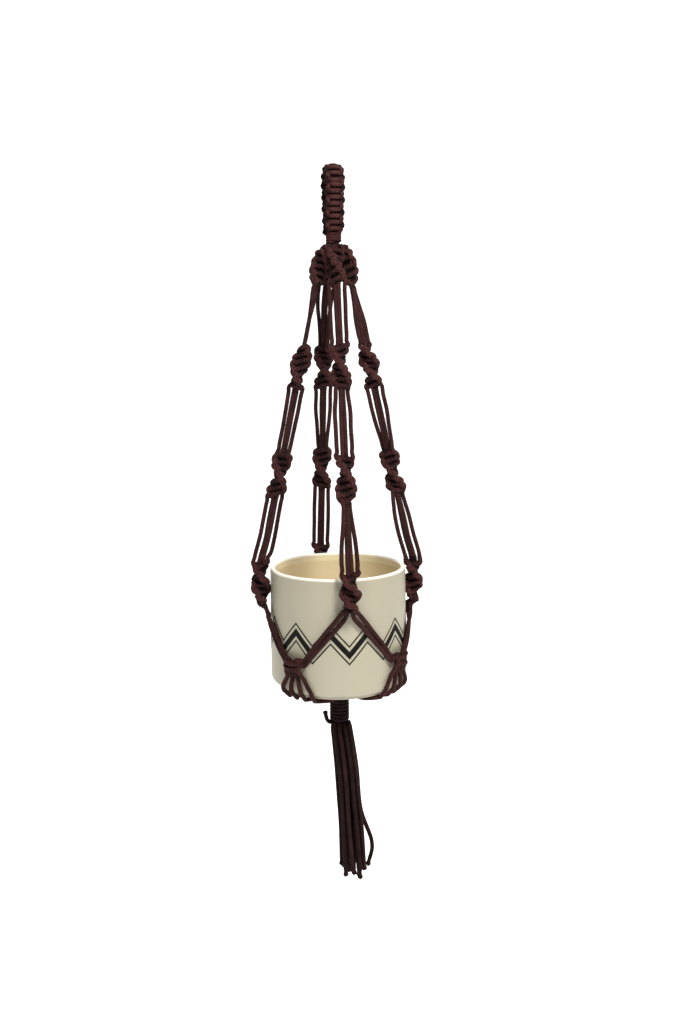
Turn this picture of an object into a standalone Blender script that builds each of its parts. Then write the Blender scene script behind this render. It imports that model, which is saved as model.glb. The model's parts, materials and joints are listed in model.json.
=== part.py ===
"""Hanging macrame planter: a ceramic pot in a knotted cord hanger, with a tassel below.

Metres, +Z up. The origin is the seat of the hanging loop, where a hook carries the planter.
The front faces -Y and the loop's eye opens along X.
"""
import math

import bpy
from mathutils import Matrix, Vector

# Cord
CORD_DIAMETER = 0.0044
CORD_RADIUS = CORD_DIAMETER / 2
GAP = 0.0003  # between pieces that touch
CORD_PITCH = CORD_DIAMETER + GAP  # between the middles of cords that lie side by side

# Hanging loop: a flat band folded over the hook
BAND_WIDTH = 0.023
BAND_THICKNESS = 0.0095
EYE_RADIUS = 0.009
EYE_LENGTH = 0.050
LOOP_LENGTH = 0.0602

# Neck: a wrapped bundle of cords
NECK_LENGTH = 0.0135
NECK_RADIUS = 0.0083
NECK_WRAP_THICKNESS = 0.0026
CROWN_PIVOT_DROP = 0.006  # from the neck's end to the point on which the hanger swings
CROWN_BUNDLE_RADIUS = 0.005

# Arms: spiral knots with four bare strands between them
ARM_AZIMUTHS = {"front": -90.0, "right": 0.0, "back": 90.0, "left": 180.0}
CROWN_START_DROP = 0.0035
CROWN_START_RADIUS = 0.0097  # of the arms' middles about the axis, where they leave the neck
CROWN_END_RADIUS = 0.0191
CROWN_LENGTH = 0.038
FIRST_STRETCH = 0.0625  # bare strands below the crown
STRETCH = 0.0655  # bare strands between two knots
KNOT_LENGTH = 0.045
KNOT_WIDE = 0.0185
KNOT_NARROW = 0.0100
# Each knot from the crown down: the direction of its wide side at its top, in degrees, where 0 is
# round the axis and 90 is out from it, and how far it turns over the knot's length
KNOT_TURNS = {
    "front": ((0.0, 160.0), (0.0, 215.0), (0.0, 258.0), (0.0, 300.0)),
    "right": ((0.0, 160.0), (135.0, 315.0), (30.0, 280.0), (90.0, 290.0)),
    "back": ((0.0, 160.0), (-65.0, 255.0), (-60.0, 260.0), (0.0, 285.0)),
    "left": ((0.0, 160.0), (-5.0, 237.0), (45.0, 245.0), (90.0, 290.0)),
}
KNOT_CLEARANCE = 0.0006  # between the pot's wall and the lower knots
FLARE_LENGTH = 0.0155  # the arms bend outwards over this length above the lower knots
FLARE_OUT = 0.0052
STRAND_SPREAD = 0.0022  # the outer strands stand off by this much half-way along
STRAND_END_GAP = GAP + CORD_RADIUS / 3  # the strands' slanted ends, above the next knot
RIBBON_SETTLE = 0.6  # share of each stretch in which the ribbon of strands turns to the next knot

# Pot
POT_RADIUS = 0.070
POT_HEIGHT = 0.1185
POT_WALL = 0.005
POT_FLOOR = 0.006
POT_CORNER = 0.006
RIM_DROP = 0.008  # from the top of the lower knots to the rim
RIM_ROUND = 0.0022
FOOT_INSET = 0.0015  # from the end of the corner's curve in to the foot ring
FOOT_WIDTH = 0.005
FOOT_HEIGHT = 0.0035

# Net under the pot
NET_KNOT_RISE = 0.0335  # above the pot's base
NET_KNOT_WIDE = 0.018
NET_KNOT_HIGH = 0.016
NET_KNOT_THICK = 0.009
DIAGONAL_END_GAP = GAP + CORD_RADIUS * 0.8  # the diagonals' slanted ends, beside a net knot
DIAGONAL_SPREAD = 0.0068  # between the middles of a diagonal's two cords, half-way along
BASE_STRAND_FAN = 16.0  # degrees between the base strands at the pot's corner
GATHER_RADIUS = 0.013
GATHER_THICKNESS = 0.004
GATHER_DROP = 0.006  # from the pot's base to the point where the base strands come together

# Base wrap and tassel
BASE_WRAP_RADIUS = 0.0102
BASE_WRAP_THICKNESS = 0.0029
BASE_WRAP_DROP = 0.005  # from the gathering point to the top of the wrap
BASE_WRAP_LENGTH = 0.0335
TASSEL_LENGTH = 0.158
TASSEL_SWING = 12.0  # degrees that the tops of the tassel cords make room for
# Each ring's cords, the azimuth of its first, and its radius at the top and the end in cord pitches
TASSEL_RINGS = ((1, 0.0, 0.0, 0.0), (5, 18.0, 1.02, 1.32), (10, 0.0, 1.94, 2.64))
TASSEL_STAGGER = 0.013  # between the longest and the shortest cord
CURL_OUT = 0.008  # how far the stray cord at +X bends out near its end

ARM_STRANDS = (-1.5, -0.5, 0.5, 1.5)

# Heights that follow from the sizes above
NECK_TOP = -LOOP_LENGTH - GAP
NECK_END = NECK_TOP - NECK_LENGTH
CROWN_PIVOT = Vector((0, 0, NECK_END - CROWN_PIVOT_DROP))
CROWN_TOP = NECK_END - CROWN_START_DROP
CROWN_END = CROWN_TOP - CROWN_LENGTH
KNOT_TOPS = [CROWN_END - FIRST_STRETCH - k * (KNOT_LENGTH + STRETCH) for k in range(3)]
LOWER_KNOT_END = KNOT_TOPS[2] - KNOT_LENGTH
RIM = KNOT_TOPS[2] - RIM_DROP
POT_BASE = RIM - POT_HEIGHT
NET_KNOT_HEIGHT = POT_BASE + NET_KNOT_RISE
GATHER = Vector((0, 0, POT_BASE - GATHER_DROP))
WRAP_TOP = GATHER.z - BASE_WRAP_DROP
WRAP_END = WRAP_TOP - BASE_WRAP_LENGTH
TASSEL_PIVOT = Vector((0, 0, WRAP_END - GAP))

# Radii that follow
NECK_CORE_RADIUS = NECK_RADIUS - NECK_WRAP_THICKNESS - GAP
BASE_CORE_RADIUS = BASE_WRAP_RADIUS - BASE_WRAP_THICKNESS - GAP
FOOT_RADIUS = POT_RADIUS - POT_CORNER - FOOT_INSET
LOWER_KNOT_RADIUS = POT_RADIUS + KNOT_WIDE / 2 + KNOT_CLEARANCE
NET_RADIUS = POT_RADIUS + CORD_RADIUS + 2 * GAP  # the middles of cords that lie on the pot's wall
NET_KNOT_RADIUS = POT_RADIUS + NET_KNOT_THICK / 2 + 2 * GAP


def clear_scene():
    for item in list(bpy.data.objects):
        bpy.data.objects.remove(item, do_unlink=True)


def make_material(name, colour, roughness):
    surface = bpy.data.materials.new(name)
    surface.use_nodes = True
    shader = surface.node_tree.nodes["Principled BSDF"]
    shader.inputs["Base Color"].default_value = (*colour, 1.0)
    shader.inputs["Roughness"].default_value = roughness
    shader.inputs["Metallic"].default_value = 0.0
    surface.diffuse_color = (*colour, 1.0)
    return surface


def cotton_cord():
    return make_material("cotton_cord", (0.045, 0.018, 0.018), 0.9)


def glazed_ceramic():
    return make_material("glazed_ceramic", (0.56, 0.51, 0.38), 0.35)


def mesh_object(name, points, faces, surface, smooth=True):
    mesh = bpy.data.meshes.new(name)
    mesh.from_pydata([tuple(p) for p in points], [], faces)
    mesh.materials.append(surface)
    if smooth:
        mesh.shade_smooth()
        mesh.set_sharp_from_angle(angle=math.radians(40))
    item = bpy.data.objects.new(name, mesh)
    bpy.context.collection.objects.link(item)
    return item


def loft(name, rings, surface):
    """A closed body through rings of points, capped at both ends."""
    sides = len(rings[0])
    points = [p for ring in rings for p in ring]
    faces = [tuple(reversed(range(sides)))]
    for k in range(len(rings) - 1):
        low, high = k * sides, (k + 1) * sides
        for n in range(sides):
            after = (n + 1) % sides
            faces.append((low + n, low + after, high + after, high + n))
    faces.append(tuple(range((len(rings) - 1) * sides, len(rings) * sides)))
    return mesh_object(name, points, faces, surface)


def turned(name, profile, sides, surface):
    """A body of revolution. The profile runs down the axis's outer side; it closes on itself when
    it keeps off the axis, and otherwise starts and ends on the axis."""
    hollow = min(radius for radius, _ in profile) > 0
    points, rows = [], []
    for radius, height in profile:
        if radius <= 0:
            rows.append([len(points)] * sides)
            points.append(Vector((0, 0, height)))
            continue
        rows.append(list(range(len(points), len(points) + sides)))
        for n in range(sides):
            angle = math.tau * n / sides
            points.append(Vector((radius * math.cos(angle), radius * math.sin(angle), height)))
    if hollow:
        rows.append(rows[0])
    faces = []
    for upper, lower in zip(rows, rows[1:]):
        for n in range(sides):
            after = (n + 1) % sides
            corners = (upper[n], lower[n], lower[after], upper[after])
            faces.append(tuple(dict.fromkeys(corners)))
    return mesh_object(name, points, faces, surface)


def carried_frames(path, side):
    """A point, a side and an up vector at each point of a path, carried along without twisting."""
    frames = []
    for k, point in enumerate(path):
        ahead = (path[min(k + 1, len(path) - 1)] - path[max(k - 1, 0)]).normalized()
        side = (side - ahead * side.dot(ahead)).normalized()
        frames.append((point, side, ahead.cross(side)))
    return frames


def ellipse_ring(middle, side, up, half_wide, half_high, turn, sides):
    ring = []
    for n in range(sides):
        angle = math.tau * n / sides
        across = half_wide * math.cos(angle)
        along = half_high * math.sin(angle)
        ring.append(
            middle
            + side * (across * math.cos(turn) - along * math.sin(turn))
            + up * (across * math.sin(turn) + along * math.cos(turn))
        )
    return ring


def cord_body(name, path, surface, sides=6):
    """A plain round cord along a path, as a mesh."""
    first = (path[1] - path[0]).normalized()
    side = first.orthogonal().normalized()
    rings = [
        ellipse_ring(point, across, up, CORD_RADIUS, CORD_RADIUS, 0.0, sides)
        for point, across, up in carried_frames(path, side)
    ]
    return loft(name, rings, surface)


def unite(name, pieces):
    """One closed body from pieces that overlap. The pieces are used up."""
    body, others = pieces[0], pieces[1:]
    for other in others:
        joined = body.modifiers.new("unite", "BOOLEAN")
        joined.operation = "UNION"
        joined.solver = "EXACT"
        joined.object = other
    graph = bpy.context.evaluated_depsgraph_get()
    mesh = bpy.data.meshes.new_from_object(body.evaluated_get(graph))
    mesh.name = name
    for piece in pieces:
        bpy.data.objects.remove(piece, do_unlink=True)
    item = bpy.data.objects.new(name, mesh)
    bpy.context.collection.objects.link(item)
    return item


def pivot(name, place, parent=None):
    """An empty on a joint's axis."""
    empty = bpy.data.objects.new(name, None)
    empty.empty_display_size = 0.01
    bpy.context.collection.objects.link(empty)
    empty.parent = parent
    empty.location = place - Vector(parent["place"] if parent else (0, 0, 0))
    empty["place"] = place
    return empty


def hang_on(item, parent, origin=None):
    """Give a piece its joint's empty as parent, and its origin on the joint's axis."""
    place = Vector(parent["place"])
    origin = place if origin is None else origin
    item.data.transform(Matrix.Translation(-origin))
    item.parent = parent
    item.location = origin - place
    return item


def polar(radius, degrees, height):
    angle = math.radians(degrees)
    return Vector((radius * math.cos(angle), radius * math.sin(angle), height))


def smooth_curve(points, steps):
    """Points along a Catmull-Rom curve through the given points."""
    ends = [points[0] * 2 - points[1], *points, points[-1] * 2 - points[-2]]
    curve = []
    for a, b, c, d in zip(ends, ends[1:], ends[2:], ends[3:]):
        for k in range(steps):
            t = k / steps
            curve.append(
                0.5
                * (
                    2 * b
                    + (c - a) * t
                    + (2 * a - 5 * b + 4 * c - d) * t * t
                    + (3 * b - a - 3 * c + d) * t * t * t
                )
            )
    curve.append(points[-1].copy())
    return curve


def blend(start, end, share):
    """From start to end, easing out and in."""
    eased = share * share * (3 - 2 * share)
    return start + (end - start) * eased


def hanging_loop(surface):
    """A teardrop band: round over the hook, its two legs meeting above the neck."""
    middle = -EYE_RADIUS

    def outline(radius, half_end, end):
        """Round the top and down to the end, then back up the other side."""
        reach = middle - end
        lean = math.atan2(radius - half_end, reach)
        steps = 12
        arc = []
        for k in range(steps + 1):
            angle = -lean + (math.pi + 2 * lean) * k / steps
            arc.append((radius * math.cos(angle), middle + radius * math.sin(angle)))
        return [(half_end, end), *arc, (-half_end, end)]

    outer = outline(EYE_RADIUS + BAND_THICKNESS, BAND_THICKNESS, -LOOP_LENGTH)
    inner = outline(EYE_RADIUS, GAP, -EYE_LENGTH)
    count = len(outer)
    points = []
    for x in (-BAND_WIDTH / 2, BAND_WIDTH / 2):
        points += [Vector((x, y, z)) for y, z in outer]
        points += [Vector((x, y, z)) for y, z in inner]
    faces = []
    far = 2 * count
    for n in range(count):
        after = (n + 1) % count
        faces.append((n, count + n, count + after, after))
        faces.append((far + n, far + after, far + count + after, far + count + n))
        faces.append((n, after, far + after, far + n))
        faces.append((count + n, far + count + n, far + count + after, count + after))
    return mesh_object("hanging_loop", points, faces, surface)


def ring_profile(inner, outer, top, end, rounding):
    """A wrap's section: a tube's wall with rounded outer corners."""
    return [
        (inner, top),
        (outer - rounding, top),
        (outer, top - rounding),
        (outer, end + rounding),
        (outer - rounding, end),
        (inner, end),
    ][::-1]


def core_profile(radius, top, end):
    return [(0, top), (radius, top), (radius, end), (0, end)]


def neck_wrap(surface):
    profile = ring_profile(NECK_CORE_RADIUS + GAP, NECK_RADIUS, NECK_TOP, NECK_END, 0.001)
    return turned("neck_wrap", profile[::-1], 24, surface)


def neck_core(surface):
    return turned("neck_core", core_profile(NECK_CORE_RADIUS, NECK_TOP, NECK_END), 20, surface)


def crown_bundle(surface):
    """The knot of cords that the arms leave from: a ball on which the hanger swings."""
    steps = 8
    profile = []
    for k in range(steps + 1):
        angle = math.pi / 2 - math.pi * k / steps
        radius = CROWN_BUNDLE_RADIUS * math.cos(angle) if 0 < k < steps else 0
        profile.append((radius, CROWN_PIVOT.z + CROWN_BUNDLE_RADIUS * math.sin(angle)))
    return turned("crown_bundle", profile, 16, surface)


def arm_radius(height):
    """The distance of an arm's middle from the axis."""
    stations = (
        (CROWN_TOP, CROWN_START_RADIUS),
        (CROWN_END, CROWN_END_RADIUS),
        (KNOT_TOPS[2] + FLARE_LENGTH, LOWER_KNOT_RADIUS - FLARE_OUT),
        (KNOT_TOPS[2], LOWER_KNOT_RADIUS),
    )
    for (high, near), (low, far) in zip(stations, stations[1:]):
        if height >= low:
            return near + (far - near) * (high - height) / (high - low)
    return LOWER_KNOT_RADIUS


def spiral_knot(name, side, level, top, end, surface):
    """A half-knot spiral's outer shape: a flat oval section that turns about the arm."""
    rings = []
    steps = 7
    azimuth = ARM_AZIMUTHS[side]
    outwards = polar(1, azimuth, 0)
    for k in range(steps + 1):
        share = k / steps
        height = top + (end - top) * share
        radius = arm_radius(height)
        room = radius * math.sin(math.radians(45)) - GAP  # up to the next arm
        half_wide = min(KNOT_WIDE / 2, room)
        half_narrow = min(KNOT_NARROW / 2, half_wide * 0.6)
        if k in (0, steps):
            half_wide *= 0.85
            half_narrow *= 0.85
        around = Vector((-outwards.y, outwards.x, 0))
        start, twist = KNOT_TURNS[side][level]
        turn = math.radians(start + twist * share)
        middle = polar(radius, azimuth, height)
        rings.append(ellipse_ring(middle, around, -outwards, half_wide, half_narrow, turn, 10))
    return loft(name, rings[::-1], surface)


def strand_path(side, level, place, start, end):
    """One of four strands side by side, from inside the knot above to just above the next knot."""
    azimuth = ARM_AZIMUTHS[side]
    outwards = polar(1, azimuth, 0)
    around = Vector((-outwards.y, outwards.x, 0))
    first_turn = sum(KNOT_TURNS[side][level])
    ribbon_turn = KNOT_TURNS[side][level + 1][0]
    ribbon_turn += 180.0 * round((first_turn - ribbon_turn) / 180.0)
    path = []
    steps = 5
    for k in range(steps + 1):
        share = k / steps
        height = start + (end - start) * share
        turn = blend(first_turn, ribbon_turn, min(1.0, share / RIBBON_SETTLE))
        swell = math.sin(math.pi * share) ** 0.7 if 0 < k < steps else 0.0
        offset = place * CORD_PITCH
        if abs(place) > 1:
            offset += math.copysign(STRAND_SPREAD * swell, place)
        angle = math.radians(turn)
        direction = around * math.cos(angle) - outwards * math.sin(angle)
        path.append(polar(arm_radius(height), azimuth, height) + direction * offset)
    return path


def arm_stretch(name, side, level, surface):
    """A knot and the four bare strands below it. Level 0 is the crown."""
    if level == 0:
        top, end = CROWN_TOP, CROWN_END
    else:
        top = KNOT_TOPS[level - 1]
        end = top - KNOT_LENGTH
    pieces = [spiral_knot(name, side, level, top, end, surface)]
    for n, place in enumerate(ARM_STRANDS):
        low = KNOT_TOPS[level] + STRAND_END_GAP
        path = strand_path(side, level, place, end + CORD_RADIUS, low)
        pieces.append(cord_body(f"{name}_strand_{n}", path, surface))
    return unite(name, pieces)


def diagonal_path(azimuth, turn_sign, row):
    """A net cord from a lower knot round the wall to the side of a net knot. Row 0 is the upper."""
    knot_half_angle = math.degrees((NET_KNOT_WIDE / 2 + DIAGONAL_END_GAP) / NET_KNOT_RADIUS)
    sweep = 45.0 - knot_half_angle
    start_offset = math.degrees((row_offset(row) + CORD_PITCH / 2) / LOWER_KNOT_RADIUS)
    start_height = LOWER_KNOT_END + CORD_RADIUS
    drop = start_height - NET_KNOT_HEIGHT
    path = []
    steps = 6
    for k in range(steps + 1):
        share = k / steps
        angle = azimuth + turn_sign * (start_offset + (sweep - start_offset) * share ** 0.9)
        radius = blend(LOWER_KNOT_RADIUS - CORD_RADIUS, NET_RADIUS, min(1.0, share * 2.5))
        height = start_height - drop * share
        apart = DIAGONAL_SPREAD * math.sin(math.pi * share) + CORD_PITCH * share
        height += apart / 2 if row == 0 else -apart / 2
        path.append(polar(radius, angle, height))
    return path


def row_offset(row):
    """How far out a diagonal cord leaves the lower knot."""
    return CORD_PITCH if row == 0 else 0.0


def lower_knot(name, side, surface):
    """The knot against the pot and the four net cords that it sends out."""
    azimuth = ARM_AZIMUTHS[side]
    pieces = [spiral_knot(name, side, 3, KNOT_TOPS[2], LOWER_KNOT_END, surface)]
    for turn_sign in (-1, 1):
        for row in (0, 1):
            path = diagonal_path(azimuth, turn_sign, row)
            pieces.append(cord_body(f"{name}_{turn_sign}_{row}", path, surface))
    return unite(name, pieces)


def base_strand_path(azimuth, place):
    """A base strand from a net knot, down the wall, round the pot's corner and in to the middle."""
    start = math.degrees(place * CORD_PITCH / NET_KNOT_RADIUS)
    corner = place * BASE_STRAND_FAN
    middle = place * 22.5
    knot_end = NET_KNOT_HEIGHT - NET_KNOT_HIGH / 4
    corner_top = POT_BASE + FOOT_HEIGHT + POT_CORNER
    under = POT_BASE - CORD_RADIUS - 2 * GAP
    path = [polar(NET_KNOT_RADIUS, azimuth + start, knot_end)]
    path.append(polar(NET_RADIUS, azimuth + (start + corner) / 2, (knot_end + corner_top) / 2))
    steps = 4
    for k in range(steps + 1):
        angle = math.pi / 2 * (1 - k / steps)
        radius = FOOT_RADIUS + (NET_RADIUS - FOOT_RADIUS) * math.sin(angle)
        height = under + (corner_top - under) * (1 - math.cos(angle))
        path.append(polar(radius, azimuth + corner, height))
    last = GATHER_RADIUS + 2 * GAP
    for share in (0.5, 1.0):
        radius = FOOT_RADIUS + (last - FOOT_RADIUS) * share
        height = under + (GATHER.z - under) * share
        path.append(polar(radius, azimuth + corner + (middle - corner) * share, height))
    return path


def net_knot(name, azimuth, surface):
    """A square knot on the pot's wall and the four base strands below it."""
    outwards = polar(1, azimuth, 0)
    around = Vector((-outwards.y, outwards.x, 0))
    centre = outwards * NET_KNOT_RADIUS + Vector((0, 0, NET_KNOT_HEIGHT))
    rings = []
    steps = 6
    for k in range(steps + 1):
        share = 2 * k / steps - 1
        size = (1 - 0.8 * abs(share) ** 3) ** 0.5
        middle = centre + around * (share * NET_KNOT_WIDE / 2)
        up = Vector((0, 0, 1))
        half_thick = NET_KNOT_THICK / 2 * size
        rings.append(ellipse_ring(middle, outwards, up, half_thick, NET_KNOT_HIGH / 2 * size, 0, 10))
    pieces = [loft(name, rings[::-1], surface)]
    for n, place in enumerate(ARM_STRANDS):
        pieces.append(cord_body(f"{name}_{n}", base_strand_path(azimuth, place), surface))
    return unite(name, pieces)


def base_core(surface):
    """The sixteen cords gathered under the pot: a spread head and a bundle below it."""
    head = GATHER_THICKNESS / 2
    profile = [
        (0, GATHER.z + head),
        (GATHER_RADIUS - 0.001, GATHER.z + head),
        (GATHER_RADIUS, GATHER.z),
        (GATHER_RADIUS - 0.001, GATHER.z - head),
        (BASE_CORE_RADIUS, WRAP_TOP),
        (BASE_CORE_RADIUS, WRAP_END),
        (0, WRAP_END),
    ]
    return turned("base_core", profile, 24, surface)


def base_wrap(surface):
    """The wrapping round the base core, with the end of the wrapping cord standing off at -X."""
    top = WRAP_TOP - GAP
    profile = ring_profile(BASE_CORE_RADIUS + GAP, BASE_WRAP_RADIUS, top, WRAP_END, 0.0012)
    ring = turned("base_wrap", profile[::-1], 24, surface)
    inside = BASE_CORE_RADIUS + GAP + CORD_RADIUS
    reach = max(inside, BASE_WRAP_RADIUS) + CORD_RADIUS
    tail_top = WRAP_END + 0.013
    tail_end = WRAP_END + 0.003
    side = Vector((0, -0.35, 0))
    points = [
        Vector((-inside, 0, tail_top)),
        Vector((-reach, 0, (tail_top + tail_end) / 2)) + side * CORD_RADIUS,
        Vector((-inside, 0, tail_end)),
    ]
    tail = cord_body("base_wrap_tail", smooth_curve(points, 3), surface)
    return unite("base_wrap", [ring, tail])


def tassel_points(ring, number):
    """The chosen points of a tassel cord, from its hinge down."""
    count, first_azimuth, *pitches = TASSEL_RINGS[ring]
    top_radius, end_radius = (CORD_PITCH * share for share in pitches)
    azimuth = first_azimuth + 360.0 * number / count
    order = (number * 7 + ring * 5) % 16
    length = TASSEL_LENGTH - TASSEL_STAGGER * order / 15
    clearance = CORD_RADIUS + top_radius * math.sin(math.radians(TASSEL_SWING))
    top = TASSEL_PIVOT.z - clearance
    end = TASSEL_PIVOT.z - length
    shares = (0.0, 0.3, 0.6, 0.85, 1.0)
    points = []
    for share in shares:
        radius = top_radius + (end_radius - top_radius) * share ** 0.8
        points.append(polar(radius, azimuth, top + (end - top) * share))
    if ring == 2 and number == 0:
        outwards = polar(1, azimuth, 0)
        points[3] += outwards * CURL_OUT
        points[4] += outwards * CURL_OUT / 4
    return points


def tassel_cord(name, points, surface):
    """A hanging cord: a curve with round section, domed at its top end where it hinges."""
    path = smooth_curve(points, 3)
    dome = [(-CORD_RADIUS * math.cos(a), math.sin(a)) for a in (0.25, 0.8)]
    down = (path[1] - path[0]).normalized()
    line = [(path[0] + down * along, size) for along, size in dome]
    line += [(point, 1.0) for point in path]
    curve = bpy.data.curves.new(name, "CURVE")
    curve.dimensions = "3D"
    curve.bevel_depth = CORD_RADIUS
    curve.bevel_resolution = 2
    curve.use_fill_caps = True
    spline = curve.splines.new("POLY")
    spline.points.add(len(line) - 1)
    for target, (point, size) in zip(spline.points, line):
        target.co = (*point, 1.0)
        target.radius = size
    spline.use_smooth = True
    curve.materials.append(surface)
    item = bpy.data.objects.new(name, curve)
    bpy.context.collection.objects.link(item)
    return item


def tassel(surface, parent):
    """Sixteen cords in three rings, each with its origin on its hinge."""
    total = 0
    for ring, (count, *_) in enumerate(TASSEL_RINGS):
        for number in range(count):
            total += 1
            points = tassel_points(ring, number)
            cord = tassel_cord(f"tassel_cord_{total:02d}", points, surface)
            hang_on(cord, parent, points[0])


def pot(surface):
    """A straight-sided pot with a rounded rim, a rounded corner and a foot ring."""
    inside = POT_RADIUS - POT_WALL
    deck = POT_BASE + FOOT_HEIGHT
    floor = deck + POT_FLOOR
    foot_inside = FOOT_RADIUS - FOOT_WIDTH

    def arc(radius, height, size, start, end, steps):
        angles = [math.radians(start + (end - start) * k / steps) for k in range(steps + 1)]
        return [(radius + size * math.cos(a), height + size * math.sin(a)) for a in angles]

    profile = [(0, floor), (inside - POT_CORNER, floor)]
    profile += arc(inside - POT_CORNER, floor + POT_CORNER, POT_CORNER, -60, 0, 2)
    profile += arc(inside + RIM_ROUND, RIM - RIM_ROUND, RIM_ROUND, 180, 90, 2)
    profile += arc(POT_RADIUS - RIM_ROUND, RIM - RIM_ROUND, RIM_ROUND, 90, 0, 2)
    profile += arc(POT_RADIUS - POT_CORNER, deck + POT_CORNER, POT_CORNER, 0, -90, 3)
    profile += [(FOOT_RADIUS, deck), (FOOT_RADIUS, POT_BASE)]
    profile += [(foot_inside, POT_BASE), (foot_inside, deck), (0, deck)]
    return turned("pot", profile, 48, surface)


def build():
    clear_scene()
    cord = cotton_cord()
    hanging_loop(cord)

    neck = pivot("neck_pivot", Vector((0, 0, NECK_TOP)))
    hang_on(neck_wrap(cord), neck)
    hang_on(neck_core(cord), neck)

    crown = pivot("crown_pivot", CROWN_PIVOT, neck)
    hang_on(crown_bundle(cord), crown)
    for side, azimuth in ARM_AZIMUTHS.items():
        for level, title in enumerate(("crown_sennit", "upper_knot", "middle_knot")):
            hang_on(arm_stretch(f"{side}_{title}", side, level, cord), crown)
        hang_on(lower_knot(f"{side}_lower_knot", side, cord), crown)
        hang_on(net_knot(f"{side}_net_knot", azimuth + 45.0, cord), crown)

    hang_on(pot(glazed_ceramic()), crown, Vector((0, 0, POT_BASE)))

    base = pivot("base_pivot", GATHER, crown)
    hang_on(base_core(cord), base)
    hang_on(base_wrap(cord), base)

    tassel(cord, pivot("tassel_pivot", TASSEL_PIVOT, base))


build()
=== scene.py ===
"""Looks of the hanging macrame planter: knotted cord, glazed pot and tassel round the fixed frame."""

import json
import math

import bpy
import numpy as np
from mathutils import Matrix, Vector

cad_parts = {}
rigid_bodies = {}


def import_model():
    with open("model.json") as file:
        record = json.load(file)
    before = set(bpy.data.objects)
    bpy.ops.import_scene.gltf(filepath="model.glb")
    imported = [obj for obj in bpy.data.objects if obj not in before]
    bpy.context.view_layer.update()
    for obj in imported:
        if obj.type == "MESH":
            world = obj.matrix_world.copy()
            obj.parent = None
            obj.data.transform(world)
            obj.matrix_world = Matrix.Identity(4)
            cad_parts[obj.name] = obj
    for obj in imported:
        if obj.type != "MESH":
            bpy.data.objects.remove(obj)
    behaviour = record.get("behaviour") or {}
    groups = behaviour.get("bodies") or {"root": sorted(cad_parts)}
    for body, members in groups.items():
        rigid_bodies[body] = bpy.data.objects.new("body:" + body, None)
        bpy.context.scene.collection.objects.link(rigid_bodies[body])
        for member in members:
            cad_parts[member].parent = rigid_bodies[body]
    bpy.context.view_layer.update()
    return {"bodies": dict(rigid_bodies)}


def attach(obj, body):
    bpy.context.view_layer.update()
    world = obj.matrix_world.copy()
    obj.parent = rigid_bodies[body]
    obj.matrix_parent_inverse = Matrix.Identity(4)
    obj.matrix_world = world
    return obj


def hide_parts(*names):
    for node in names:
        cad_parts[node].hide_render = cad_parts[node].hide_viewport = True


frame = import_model()
rng = np.random.RandomState(11)

# Sizes shared with the frame, in metres
CORD_DIAMETER = 0.0044
CORD_RADIUS = CORD_DIAMETER / 2
GAP = 0.0003
CORD_PITCH = CORD_DIAMETER + GAP
BAND_WIDTH, BAND_THICKNESS = 0.023, 0.0095
EYE_RADIUS, LOOP_LENGTH = 0.009, 0.0602
NECK_LENGTH, NECK_RADIUS = 0.0135, 0.0083
CROWN_START_RADIUS, CROWN_END_RADIUS, CROWN_LENGTH = 0.0097, 0.0191, 0.038
FIRST_STRETCH, STRETCH, KNOT_LENGTH = 0.0625, 0.0655, 0.045
KNOT_WIDE = 0.0185
FLARE_LENGTH, FLARE_OUT = 0.0155, 0.0052
# Each knot from the crown down: the direction of its wide side at its top, and its turn to its end
KNOT_TURNS = {
    "front": ((0.0, 160.0), (0.0, 215.0), (0.0, 240.0), (0.0, 300.0)),
    "right": ((0.0, 160.0), (135.0, 315.0), (30.0, 280.0), (90.0, 290.0)),
    "back": ((0.0, 160.0), (-65.0, 255.0), (-60.0, 260.0), (0.0, 285.0)),
    "left": ((0.0, 160.0), (-5.0, 237.0), (45.0, 245.0), (90.0, 290.0)),
}
# The share of each bare stretch in which its ribbon of strands turns to the next knot
RIBBON_SETTLES = {
    "front": (0.45, 0.5, 1.0), "right": (0.8, 1.0, 0.45), "back": (0.8, 0.9, 0.4), "left": (0.7, 0.9, 0.5)
}
LOWER_KNOT_LENGTHS = {"front": 0.0340, "right": 0.0405, "back": 0.0425, "left": 0.0425}
LOWER_KNOT_DROPS = {"front": 0.0, "right": 0.0060, "back": 0.0, "left": 0.0}
BACK_ARM_SHIFT = -0.0072  # the back arm hangs a little to the left
ARM_AZIMUTHS = {"front": -90.0, "right": 0.0, "back": 90.0, "left": 180.0}
POT_RADIUS, POT_HEIGHT, POT_WALL, POT_FLOOR, POT_CORNER = 0.070, 0.1185, 0.005, 0.006, 0.006
RIM_DROP, RIM_ROUND = 0.008, 0.0022
FOOT_INSET, FOOT_WIDTH, FOOT_HEIGHT = 0.0015, 0.005, 0.0035
NET_KNOT_RISE, NET_KNOT_WIDE, NET_KNOT_HIGH, NET_KNOT_THICK = 0.0335, 0.018, 0.016, 0.009
DIAGONAL_END_GAP = GAP + CORD_RADIUS * 0.8
BASE_STRAND_FAN = 9.5
GATHER_RADIUS, GATHER_DROP = 0.013, 0.006
BASE_WRAP_RADIUS, BASE_WRAP_DROP, BASE_WRAP_LENGTH = 0.0102, 0.005, 0.0335
TASSEL_LENGTH, TASSEL_SWING, TASSEL_STAGGER, CURL_OUT = 0.158, 12.0, 0.013, 0.008
TASSEL_RINGS = ((1, 0.0, 0.0, 0.0), (5, 18.0, 1.02, 1.32), (10, 0.0, 1.94, 2.64))

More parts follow.
